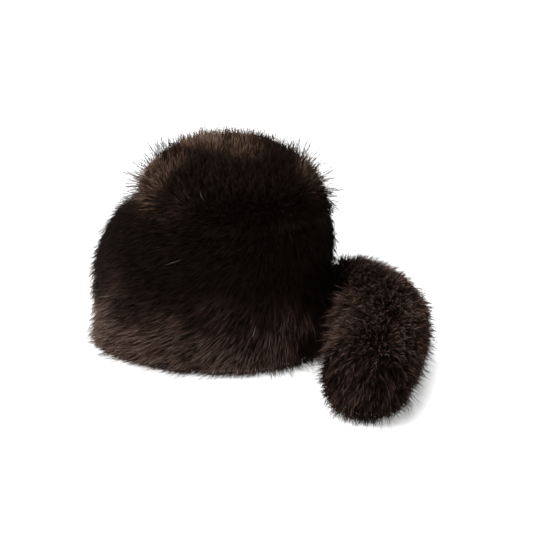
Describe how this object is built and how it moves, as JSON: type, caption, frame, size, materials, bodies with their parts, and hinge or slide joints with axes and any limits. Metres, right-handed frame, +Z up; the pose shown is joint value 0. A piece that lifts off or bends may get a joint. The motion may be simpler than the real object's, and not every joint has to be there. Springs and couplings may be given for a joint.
{
  "type": "fur bucket hat with a tail",
  "caption": "Deep fur hat with a domed crown, a tall rolled brim fullest in front, an open hollow for the head and a bushy tail curled beside it.",
  "frame": {"origin": "on the surface the hat stands on, under the middle of the box round the hat and its tail", "axes": "+Z up, the front of the hat faces -Y, the tail leaves behind towards +Y and curls towards +X"},
  "size_m": [0.3498, 0.39, 0.2419],
  "materials": {
    "pelt": "suede side of a fur pelt, matt",
    "crown_fur": "deep dark brown fur, near black at the roots, warm brown tips",
    "brim_fur": "deep brown fur with greyer tips low down",
    "tail_fur": "deep grey brown fur"
  },
  "bodies": {
    "root": {"crown_pelt": "pelt", "crown_fur": "crown_fur", "brim_fur": "brim_fur", "tail_fur": "tail_fur"}
  },
  "joints": []
}
